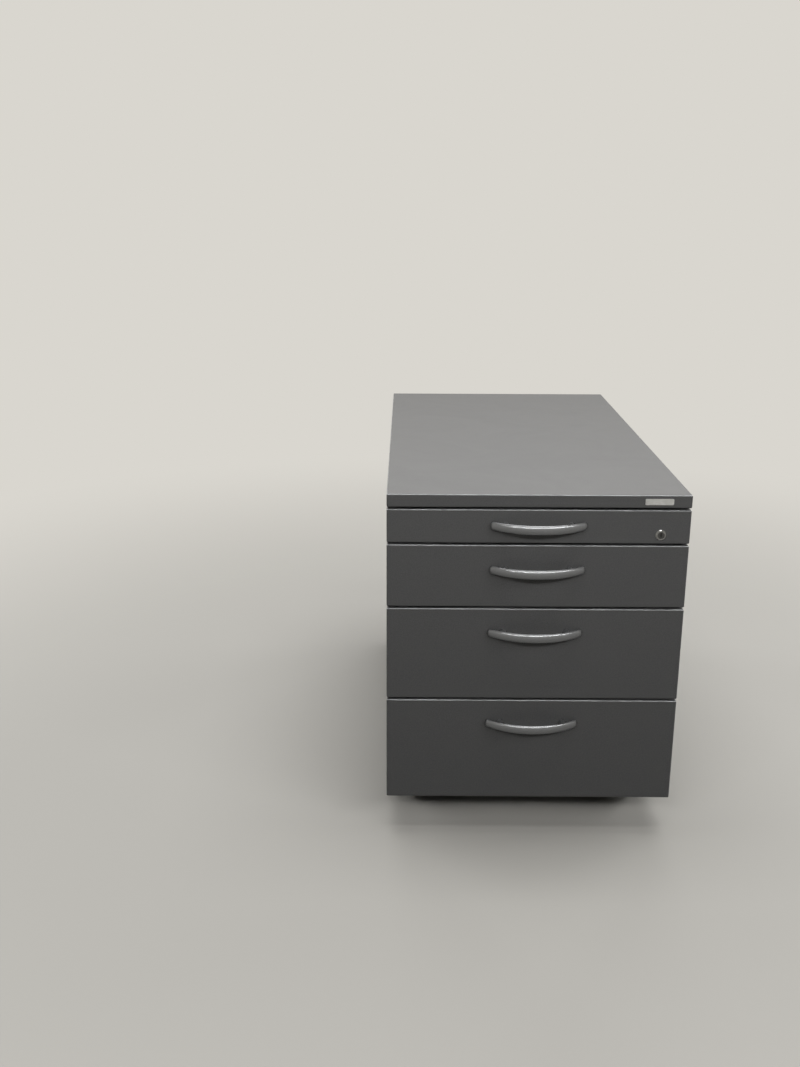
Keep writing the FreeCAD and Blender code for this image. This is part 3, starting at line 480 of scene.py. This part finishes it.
def handle_tree():
    """Tree of one handle: a swept bar and its two posts."""
    tree, given = start_tree("bow_handle", {
        "Start": "Vector", "Middle": "Vector", "End": "Vector", "Thickness": "Float",
        "Height": "Float", "End height": "Float", "Round end": "Float", "Bluntness": "Float",
        "Post radius": "Float", "Post spacing": "Float", "Post reach": "Float", "Wall": "Float",
        "Material": "Material"})
    arc = add(tree, "GeometryNodeCurveArc",
              {"Resolution": ARC_POINTS, "Start": given["Start"], "Middle": given["Middle"],
               "End": given["End"]}, mode="POINTS").outputs[0]
    arc = add(tree, "GeometryNodeSetCurveNormal", {"Curve": arc}, mode="Z_UP").outputs[0]

    # Superellipse past the start of the round end: 1 at that start, almost 0 at the tip
    along = add(tree, "GeometryNodeSplineParameter").outputs["Factor"]
    outward = maths(tree, "MULTIPLY_ADD", along, 2.0, -1.0)
    outward = maths(tree, "ABSOLUTE", outward)
    ending = ranged(tree, outward, given["Round end"], 1.0)
    ending = maths(tree, "POWER", ending, given["Bluntness"])
    ending = maths(tree, "SUBTRACT", 1.0, ending)
    root = maths(tree, "DIVIDE", 1.0, given["Bluntness"])
    ending = maths(tree, "POWER", ending, root)
    ending = maths(tree, "MAXIMUM", ending, TIP_SHARE)

    # The section is a circle one metre wide, scaled to the bar's thickness and height
    circle = add(tree, "GeometryNodeCurvePrimitiveCircle",
                 {"Resolution": BAR_SIDES, "Radius": 0.5}).outputs[0]
    size = combined(tree, X=given["Thickness"], Y=given["Height"], Z=1.0)
    section = add(tree, "GeometryNodeTransform", {"Geometry": circle, "Scale": size}).outputs[0]
    bar = add(tree, "GeometryNodeCurveToMesh",
              {"Curve": arc, "Profile Curve": section, "Scale": ending,
               "Fill Caps": True}).outputs[0]

    # Less tall towards the ends: z moves to the middle line by a share that grows with x squared
    here = split(tree, add(tree, "GeometryNodeInputPosition").outputs[0])
    middle = split(tree, given["Middle"])
    end = split(tree, given["End"])
    share = maths(tree, "DIVIDE", here["X"], end["X"])
    share = maths(tree, "MULTIPLY", share, share)
    loss = maths(tree, "DIVIDE", given["End height"], given["Height"])
    loss = maths(tree, "SUBTRACT", loss, 1.0)
    share = maths(tree, "MULTIPLY", share, loss)
    rise = maths(tree, "SUBTRACT", here["Z"], middle["Z"])
    shift = combined(tree, Z=maths(tree, "MULTIPLY", rise, share))
    bar = add(tree, "GeometryNodeSetPosition", {"Geometry": bar, "Offset": shift}).outputs[0]

    # One post along -Y from the front, then a copy at each place
    tip = combined(tree, Y=maths(tree, "SUBTRACT", 0.0, given["Post reach"]))
    line = add(tree, "GeometryNodeCurvePrimitiveLine", {"End": tip}).outputs[0]
    disc = add(tree, "GeometryNodeCurvePrimitiveCircle",
               {"Resolution": POST_SIDES, "Radius": given["Post radius"]}).outputs[0]
    post = add(tree, "GeometryNodeCurveToMesh",
               {"Curve": line, "Profile Curve": disc, "Fill Caps": True}).outputs[0]
    left = maths(tree, "MULTIPLY", given["Post spacing"], -0.5)
    first = combined(tree, X=left, Y=given["Wall"], Z=middle["Z"])
    step = combined(tree, X=given["Post spacing"])
    places = add(tree, "GeometryNodeMeshLine",
                 {"Count": 2, "Start Location": first, "Offset": step}).outputs[0]
    posts = add(tree, "GeometryNodeInstanceOnPoints",
                {"Points": places, "Instance": post}).outputs[0]

    both = add(tree, "GeometryNodeJoinGeometry")
    tree.links.new(bar, both.inputs[0])
    tree.links.new(posts, both.inputs[0])
    made = add(tree, "GeometryNodeRealizeInstances", {0: both.outputs[0]}).outputs[0]
    made = add(tree, "GeometryNodeSetShadeSmooth", {"Geometry": made}).outputs[0]
    made = add(tree, "GeometryNodeSetMaterial",
               {"Geometry": made, "Material": given["Material"]}).outputs[0]
    add(tree, "NodeGroupOutput", {0: made})
    return tree


bow_handle = handle_tree()
print("tree", bow_handle.name, "with", len(bow_handle.nodes), "nodes")

# %% [markdown]
# The box of each CAD handle gives the new one its place, length, height and reach. The bow and half
# the length give the radius of the outer face, and the sweep's line runs half a thickness inside it.

# %% Four handles
BOW_MM = 23.0
BAR_THICK_MM = 6.0
BAR_END_MM = 12.0
BLUNTNESS = 2.6
ROUND_SHARE = 0.945     # of the half length, past which the bar rounds off
POST_SPACING_MM = 92.0
POST_RADIUS_MM = 4.2

for number in DRAWERS:
    node = "drawer_%d_handle" % number
    low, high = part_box(node)
    half = high.x
    level = (low.z + high.z) / 2
    bow = BOW_MM * MM
    radius = (half ** 2 + bow ** 2) / (2 * bow)
    centre_y = low.y + radius
    line_radius = radius - BAR_THICK_MM * MM / 2
    reach = math.asin(half / line_radius)
    start, middle, end = [
        Vector((line_radius * math.sin(angle), centre_y - line_radius * math.cos(angle), level))
        for angle in (-reach, 0, reach)]
    post_y = centre_y - math.sqrt(line_radius ** 2 - (POST_SPACING_MM * MM / 2) ** 2)
    handle = grow("bow_handle_%d" % number, bow_handle, {
        "Start": start, "Middle": middle, "End": end, "Thickness": BAR_THICK_MM * MM,
        "Height": high.z - low.z, "End height": BAR_END_MM * MM, "Round end": ROUND_SHARE,
        "Bluntness": BLUNTNESS, "Post radius": POST_RADIUS_MM * MM,
        "Post spacing": POST_SPACING_MM * MM, "Post reach": high.y - post_y, "Wall": high.y,
        "Material": finishes["handle_metal"]})
    settle(handle, node)
    print(handle.name, "has", len(handle.data.polygons), "faces")

# %% [markdown]
# ## Screws
# The cabinet's screws are pan heads with a cross recess. The tree builds one screw that points along
# Z: a low cone on a short rim for the head, two crossed bars cut out of it, and a plain shank. It
# then puts a copy on each point and turns it to the direction stored there.

# %% Tree of the screw
HEAD_SIDES = 24
SHANK_SIDES = 16
CROWN_SHARE = 0.62      # radius of the head's flat top, as a share of the head's radius
RECESS_SHARE = 1.1      # length of the recess, as a share of the head's radius


def moved_along(tree, shape, distance):
    """Shape moved along Z."""
    shift = combined(tree, Z=distance)
    return add(tree, "GeometryNodeTransform", {"Geometry": shape, "Translation": shift}).outputs[0]


def screw_tree():
    """Tree of one screw, copied to each point of the mesh that it runs on."""
    tree, given = start_tree("pan_head_screw", {
        "Head radius": "Float", "Head height": "Float", "Shank radius": "Float",
        "Shank length": "Float", "Recess width": "Float", "Material": "Material"})
    half = maths(tree, "MULTIPLY", given["Head height"], 0.5)
    rim = add(tree, "GeometryNodeMeshCylinder",
              {"Vertices": HEAD_SIDES, "Radius": given["Head radius"], "Depth": half}).outputs[0]
    rim = moved_along(tree, rim, maths(tree, "MULTIPLY", half, -0.5))
    narrow = maths(tree, "MULTIPLY", given["Head radius"], CROWN_SHARE)
    crown = add(tree, "GeometryNodeMeshCone",
                {"Vertices": HEAD_SIDES, "Radius Top": given["Head radius"],
                 "Radius Bottom": narrow, "Depth": half}).outputs[0]
    crown_z = maths(tree, "MULTIPLY", given["Head height"], -1.0)
    crown = moved_along(tree, crown, crown_z)
    head = add(tree, "GeometryNodeMeshBoolean", {"Mesh 2": rim}, operation="UNION", solver="EXACT")
    tree.links.new(crown, head.inputs["Mesh 2"])

    recess = add(tree, "GeometryNodeMeshBoolean", {"Mesh 1": head.outputs[0]},
                 operation="DIFFERENCE", solver="EXACT")
    width = given["Recess width"]
    length = maths(tree, "MULTIPLY", given["Head radius"], RECESS_SHARE)
    for across, up in ((length, width), (width, length)):
        size = combined(tree, X=across, Y=up, Z=given["Head height"])
        bar = add(tree, "GeometryNodeMeshCube", {"Size": size}).outputs[0]
        tree.links.new(moved_along(tree, bar, crown_z), recess.inputs["Mesh 2"])

    shank = add(tree, "GeometryNodeMeshCylinder",
                {"Vertices": SHANK_SIDES, "Radius": given["Shank radius"],
                 "Depth": given["Shank length"]}).outputs[0]
    shank = moved_along(tree, shank, maths(tree, "MULTIPLY", given["Shank length"], 0.5))
    whole = add(tree, "GeometryNodeJoinGeometry", {0: recess.outputs[0]})
    tree.links.new(shank, whole.inputs[0])

    way = add(tree, "GeometryNodeInputNamedAttribute", {"Name": "way"},
              data_type="FLOAT_VECTOR").outputs[0]
    turn = add(tree, "FunctionNodeAlignRotationToVector", {"Vector": way}, axis="Z").outputs[0]
    copies = add(tree, "GeometryNodeInstanceOnPoints",
                 {"Points": given["Geometry"], "Instance": whole.outputs[0],
                  "Rotation": turn}).outputs[0]
    made = add(tree, "GeometryNodeRealizeInstances", {0: copies}).outputs[0]
    made = add(tree, "GeometryNodeSetMaterial",
               {"Geometry": made, "Material": given["Material"]}).outputs[0]
    add(tree, "NodeGroupOutput", {0: made})
    return tree


pan_head = screw_tree()
print("tree", pan_head.name, "with", len(pan_head.nodes), "nodes")

# %% [markdown]
# The places come from the CAD screws themselves. Each separate solid has a box, its longest side is
# the screw's axis, and the head is at the end that a screwdriver can reach. Screws of one length make
# one batch.

# %% Places of the screws
MERGE_MM = 0.001        # points closer than this are one


def loose_boxes(node):
    """Lowest and highest corner of each separate solid in a CAD node, in the order of its points."""
    copy = bmesh.new()
    copy.from_mesh(nodes[node].data)
    bmesh.ops.remove_doubles(copy, verts=copy.verts, dist=MERGE_MM * MM)
    waiting = set(copy.verts)
    boxes = []
    for start in copy.verts:
        if start not in waiting:
            continue
        waiting.remove(start)
        group = [start]
        for vert in group:
            for edge in vert.link_edges:
                other = edge.other_vert(vert)
                if other in waiting:
                    waiting.remove(other)
                    group.append(other)
        boxes.append([Vector([pick(vert.co[axis] for vert in group) for axis in range(3)])
                      for pick in (min, max)])
    copy.free()
    return boxes


def driver_side(axis, middle):
    """Which end of a screw along an axis, 1 or -1, a screwdriver can reach."""
    if axis == 0:                   # in a side panel, from the cabinet's inside
        return -1 if middle.x > 0 else 1
    return 1 if axis == 1 else -1   # in a front, from behind; in the base, from below


def screw_places(node, head_height):
    """Seat, direction and shank length of each screw in a CAD node."""
    found = []
    for low, high in loose_boxes(node):
        size = high - low
        axis = max(range(3), key=lambda i: size[i])
        middle = (low + high) / 2
        side = driver_side(axis, middle)
        way = Vector((0, 0, 0))
        way[axis] = -side
        seat = middle.copy()
        seat[axis] = (high if side > 0 else low)[axis] - side * head_height
        found.append((seat, way, size[axis] - head_height))
    return found


def points_with_ways(name, places):
    """Mesh of single points, each with the direction it faces."""
    mesh = bpy.data.meshes.new(name)
    mesh.from_pydata([seat for seat, way in places], [], [])
    ways = mesh.attributes.new("way", "FLOAT_VECTOR", "POINT")
    ways.data.foreach_set("vector", [value for seat, way in places for value in way])
    return mesh


print("carcase has", len(loose_boxes("carcase_screws")), "screws")

# %% [markdown]
# Screws with thin heads hold the rails, which leave little room for a head, and the castor plates.
# Thicker heads hold the fronts and the handles.

# %% Screws in batches
SHANK_RADIUS_MM = 1.75
RECESS_MM = 1.1
LENGTH_DIGITS = 4       # of metres, so lengths are told apart by 0.1 mm
HEADS_MM = {"carcase_screws": (3.4, 1.6)}   # radius and height
for number in DRAWERS:
    HEADS_MM["drawer_%d_screws" % number] = (4.0, 2.2)

for node, (head_radius, head_height) in HEADS_MM.items():
    places = screw_places(node, head_height * MM)
    lengths = sorted({round(length, LENGTH_DIGITS) for _, _, length in places})
    for index, length in enumerate(lengths):
        batch = [(seat, way) for seat, way, own in places if round(own, LENGTH_DIGITS) == length]
        name = "%s_%d" % (node.replace("screws", "pan_heads"), index)
        piece = grow(name, pan_head, {
            "Head radius": head_radius * MM, "Head height": head_height * MM,
            "Shank radius": SHANK_RADIUS_MM * MM, "Shank length": length,
            "Recess width": RECESS_MM * MM, "Material": finishes["zinc_steel"]},
            points_with_ways(node + "_places", batch))
        settle(piece, node)
    print(node, "has", len(places), "screws of", [round(length / MM, 1) for length in lengths], "mm")

# %% [markdown]
# ## Floor and light
# The cabinet stands on a plain pale floor that fades into a plain backdrop. Dark boards need a pale
# surround to stand out from, but that surround must not light them: pale light from below would fill
# the gaps and the shadows under the handles. The Light Path node tells rays apart, so the floor and
# the world show their pale colour to the camera, to reflections and to what shows through, and give
# back a dimmer light to everything else.

# %% Pale floor
FLOOR_SIZE = 40.0
FADE_START = 0.6        # metres from the cabinet's middle
FADE_END = 2.2
BACKDROP = "#d9d6cf"
FLOOR_SHOWN = "#96948f"
FLOOR_BOUNCE = "#302f2e"


def shown_rays(tree):
    """1 for rays that show a surface: from the camera, by reflection or by transmission."""
    rays = add(tree, "ShaderNodeLightPath").outputs
    shown = maths(tree, "MAXIMUM", rays["Is Camera Ray"], rays["Is Glossy Ray"])
    return maths(tree, "MAXIMUM", shown, rays["Is Transmission Ray"])


material, tree, shader, place = start_finish("pale_screed", FLOOR_SHOWN, roughness=0.8)
shown = shown_rays(tree)
tree.links.new(blend(tree, shown, FLOOR_BOUNCE, FLOOR_SHOWN), shader.inputs["Base Color"])
distance = add(tree, "ShaderNodeVectorMath", {0: place}, operation="LENGTH").outputs[1]
fade = add(tree, "ShaderNodeMapRange", {0: distance, 1: FADE_START, 2: FADE_END},
           interpolation_type="SMOOTHSTEP").outputs[0]
fade = maths(tree, "MULTIPLY", fade, shown)
far = add(tree, "ShaderNodeEmission", {"Color": linear(BACKDROP)}).outputs[0]
ground = add(tree, "ShaderNodeMixShader", {0: fade, 1: shader.outputs[0], 2: far}).outputs[0]
tree.links.new(ground, tree.nodes["Material Output"].inputs["Surface"])
sheet = bpy.data.meshes.new("floor")
corner = FLOOR_SIZE / 2
sheet.from_pydata([(-corner, -corner, 0), (corner, -corner, 0), (corner, corner, 0),
                   (-corner, corner, 0)], [], [(0, 1, 2, 3)])
floor = bpy.data.objects.new("floor", sheet)
floor.data.materials.append(material)
bpy.context.scene.collection.objects.link(floor)
print("floor", FLOOR_SIZE, "m wide")

# %% [markdown]
# The lamps are softboxes. Three flat ones stand on an arc in front: they light the fronts and give
# the bowed handles a highlight along most of their length, which one lamp alone would keep short. A
# small one high in front lights the rounded upper edges of the fronts and leaves the undersides of
# the handles dark. One overhead lights the top, and one high behind gives the sheen that the top
# board shows at a flat angle. Two large ones at the sides reach the side panels and the back.

# %% Soft surround and lamps
SURROUND = "#3a3a3a"
FRONT_Y = -0.4
ARC_RADIUS = 2.5        # metres from the middle of the fronts
ARC_HEIGHT = 1.8
ARC_AIM_HEIGHT = 1.0
ARC_ANGLES = (-24, 10, 44)

world = bpy.data.worlds.new("studio")
bpy.context.scene.world = world
world.use_nodes = True
tree = world.node_tree
glow = blend(tree, shown_rays(tree), SURROUND, BACKDROP)
tree.links.new(glow, tree.nodes["Background"].inputs["Color"])


def soft_lamp(name, place, target, width, height, watts, spread=180):
    """Lamp with a soft rectangular face, turned towards a target, with a spread in degrees."""
    light = bpy.data.lights.new(name, "AREA")
    light.shape = "RECTANGLE"
    light.size = width
    light.size_y = height
    light.energy = watts
    light.spread = math.radians(spread)
    lamp = bpy.data.objects.new(name, light)
    lamp.location = place
    lamp.rotation_euler = (Vector(target) - Vector(place)).to_track_quat("-Z", "Y").to_euler()
    lamp.visible_camera = False
    bpy.context.scene.collection.objects.link(lamp)


for angle in ARC_ANGLES:
    sideways = ARC_RADIUS * math.sin(math.radians(angle))
    forward = ARC_RADIUS * math.cos(math.radians(angle))
    soft_lamp("front_lamp_%d" % angle, place=(sideways, FRONT_Y - forward, ARC_HEIGHT),
              target=(0, FRONT_Y, ARC_AIM_HEIGHT), width=1.6, height=0.15, watts=11, spread=100)
soft_lamp("high_lamp", place=(0.2, -1.3, 3.0), target=(0, FRONT_Y, 0.5),
          width=1.2, height=0.3, watts=16)
soft_lamp("top_lamp", place=(0.1, -0.05, 3.05), target=(0.1, -0.05, 0.4),
          width=2.6, height=1.0, watts=60)
soft_lamp("rear_lamp", place=(0.0, 2.4, 2.3), target=(0, -0.3, 0.54),
          width=3.0, height=0.6, watts=48)
for side in (-1, 1):
    soft_lamp("side_lamp_%d" % side, place=(side * 2.6, 1.6, 1.5), target=(0, 0.2, 0.3),
              width=1.6, height=1.6, watts=36)
bpy.context.scene.view_settings.view_transform = "Standard"
print("backdrop", BACKDROP, "surround", SURROUND, "and", len(bpy.data.lights), "lamps")

# %% [markdown]
# ## Camera
# The viewpoint of the photograph was worked out from the cabinet's own edges: almost straight in
# front, a little to the left of its middle, and looking down on it. The focal length is known in
# pixels of an image of 800 by 1067, and the sensor width belongs to the long side.

# %% Camera
IMAGE_LONG_SIDE = 1067
FOCAL_PIXELS = 1138.3
SENSOR_MM = 36.0
CAMERA_MM = (-186.6, -1926.8, 957.0)
LOOK_DOWN = 17.118
TURN_LEFT = 0.342
ROLL = 0.199

view = bpy.data.cameras.new("view")
view.sensor_width = SENSOR_MM
view.lens = FOCAL_PIXELS / IMAGE_LONG_SIDE * SENSOR_MM
camera = bpy.data.objects.new("view", view)
turned = Matrix.Rotation(math.radians(TURN_LEFT), 4, "Z")
turned @= Matrix.Rotation(math.radians(90 - LOOK_DOWN), 4, "X")
turned @= Matrix.Rotation(math.radians(ROLL), 4, "Z")
camera.matrix_world = Matrix.Translation(Vector(CAMERA_MM) * MM) @ turned
bpy.context.scene.collection.objects.link(camera)
bpy.context.scene.camera = camera
print("lens", round(view.lens, 2), "mm")
